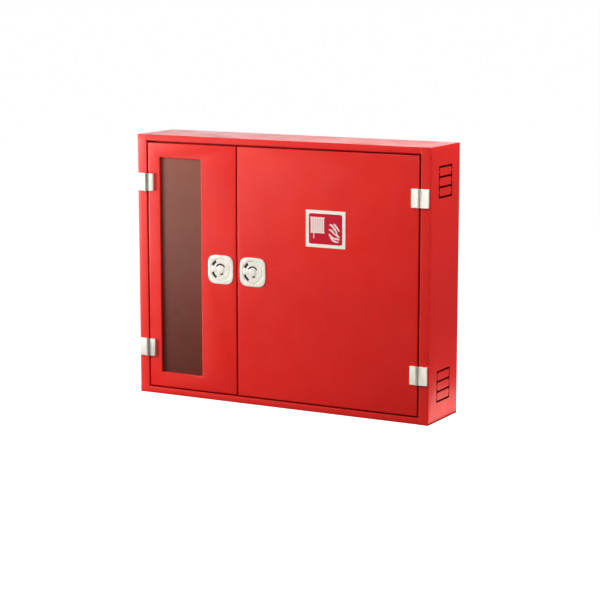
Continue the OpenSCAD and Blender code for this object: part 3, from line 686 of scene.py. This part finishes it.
for piece in (sign_field(), sign_symbol()):
    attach(piece, "right_door_leaf")


# ---------- stage, light, camera ----------

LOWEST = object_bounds()[0].z
PAPER = (0.59, 0.59, 0.59), (0.61, 0.61, 0.61)
PAPER_GLOW = 0.9
PAPER_DROP = 0.0005  # keeps the paper clear of the cabinet's underside
PAPER_HALF = 400.0


def floor_paper():
    """White studio paper that glows a little, so that it stays white up to the horizon."""
    mat, nt, sh = new_material("floor_paper")
    nt.links.new(two_tone(nt, noise(nt, coords(nt), scale=3.0), *PAPER), sh.inputs["Base Color"])
    sh.inputs["Roughness"].default_value = 0.9
    sh.inputs["Specular IOR Level"].default_value = 0.0
    sh.inputs["Emission Color"].default_value = (1.0, 1.0, 1.0, 1)
    sh.inputs["Emission Strength"].default_value = PAPER_GLOW
    return mat


bm = bmesh.new()
bmesh.ops.create_grid(bm, x_segments=4, y_segments=4, size=PAPER_HALF)
bmesh.ops.translate(bm, verts=bm.verts, vec=(0, 0, LOWEST - PAPER_DROP))
floor = link("floor", bm, [floor_paper()])
floor.visible_diffuse = False
floor.visible_glossy = False
floor.visible_transmission = False

world = bpy.data.worlds.new("studio")
SCENE.world = world
world.use_nodes = True
wt = world.node_tree
path = wt.nodes.new("ShaderNodeLightPath")


def background(strength):
    """A white background of the given strength."""
    b = wt.nodes.new("ShaderNodeBackground")
    b.inputs["Color"].default_value = (1.0, 1.0, 1.0, 1)
    b.inputs["Strength"].default_value = strength
    return b.outputs[0]


def pick(ray, otherwise, shader):
    """shader for one kind of ray, and the other shader for the rest."""
    m = wt.nodes.new("ShaderNodeMixShader")
    wt.links.new(path.outputs[ray], m.inputs[0])
    wt.links.new(otherwise, m.inputs[1])
    wt.links.new(shader, m.inputs[2])
    return m.outputs[0]


# The white round the cabinet is weak for light and for reflections, and pure white for the camera
sky = pick("Is Glossy Ray", background(0.16), background(0.12))
sky = pick("Is Camera Ray", sky, background(1.0))
wt.links.new(sky, wt.nodes["World Output"].inputs["Surface"])


def softbox(name, at_point, target, size, power, colour):
    """A rectangular lamp that the camera doesn't see."""
    lamp = bpy.data.lights.new(name, "AREA")
    lamp.shape = "RECTANGLE"
    lamp.size, lamp.size_y = size
    lamp.energy = power
    lamp.color = colour
    ob = bpy.data.objects.new(name, lamp)
    ob.location = at_point
    ob.rotation_mode = "QUATERNION"
    ob.rotation_quaternion = (Vector(target) - Vector(at_point)).to_track_quat("-Z", "Y")
    ob.visible_camera = False
    SCENE.collection.objects.link(ob)
    return ob


WHITE = (1.0, 1.0, 1.0)
WARM = (1.0, 0.99, 0.93)
BOUNCED = (1.0, 0.90, 0.82)
# Name, place, what it points at, width and height, power, colour
LAMPS = (
    ("key", (-2.00, -1.20, 0.10), (-0.25, -0.2, -0.05), (0.9, 0.9), 40, WARM),
    ("high_key", (-1.50, -1.80, 1.60), (-0.30, -0.2, 0.0), (0.9, 0.9), 4.5, WARM),
    ("front_fill", (0.20, -1.60, 1.20), (-0.2, -0.2, 0.0), (0.9, 0.9), 17, WHITE),
    ("sheen", (-2.3, -2.8, 0.35), (-0.2, -0.2, 0.0), (1.7, 1.9), 8.5, WARM),
    ("side_high", (1.6, 0.1, 1.6), (0.5, -0.1, 0.2), (0.8, 0.8), 25, WHITE),
    ("side_fill", (1.9, 0.5, 1.0), (0.5, -0.1, 0.2), (0.9, 0.9), 11, WHITE),
    ("floor_bounce", (0.62, 0.02, LOWEST + 0.003), (0.62, 0.02, 1.0), (0.23, 0.50), 0.55, BOUNCED),
    ("back_light", (-1.8, 3.2, 0.95), (0.0, 0.0, 0.4), (3.2, 1.0), 19, WHITE),
)
for lamp_row in LAMPS:
    softbox(*lamp_row)

# A card for the right-hand hinges alone, as a photographer flags a lamp off the paint
right_hinges = bpy.data.collections.new("right_hinges")
for ob in SCENE.collection.objects:
    if ob.name.startswith("hinge_") and ("_ur" in ob.name or "_lr" in ob.name):
        right_hinges.objects.link(ob)
CREAM = (1.0, 0.82, 0.68)
card = softbox("hinge_card", (0.75, -2.4, 0.10), (0.30, -0.2, 0.0), (0.8, 1.0), 11, CREAM)
card.light_linking.receiver_collection = right_hinges

YAW = math.radians(28.65)
PITCH = math.radians(9.65)
LENS = 115.8
# The camera's place from the lower left front corner, in cabinet widths: aside, back and up
ASIDE, BACK_OFF, UP_BY = 0.503, 5.977, 1.3085
RIGHT = Vector((math.cos(YAW), math.sin(YAW), 0))
AHEAD = Vector((-math.sin(YAW), math.cos(YAW), 0))
UP = Vector((0, 0, 1))
corner = Vector((-HALF_W, FACE_Y, -HALF_H))
cam_data = bpy.data.cameras.new("camera")
cam_data.sensor_width = 36.0
cam_data.lens = LENS
camera = bpy.data.objects.new("camera", cam_data)
camera.location = corner + 2 * HALF_W * (ASIDE * RIGHT - BACK_OFF * AHEAD + UP_BY * UP)
camera.rotation_mode = "QUATERNION"
camera.rotation_quaternion = (AHEAD * math.cos(PITCH) - UP * math.sin(PITCH)).to_track_quat("-Z", "Y")
SCENE.collection.objects.link(camera)
SCENE.camera = camera
SCENE.view_settings.view_transform = "Standard"
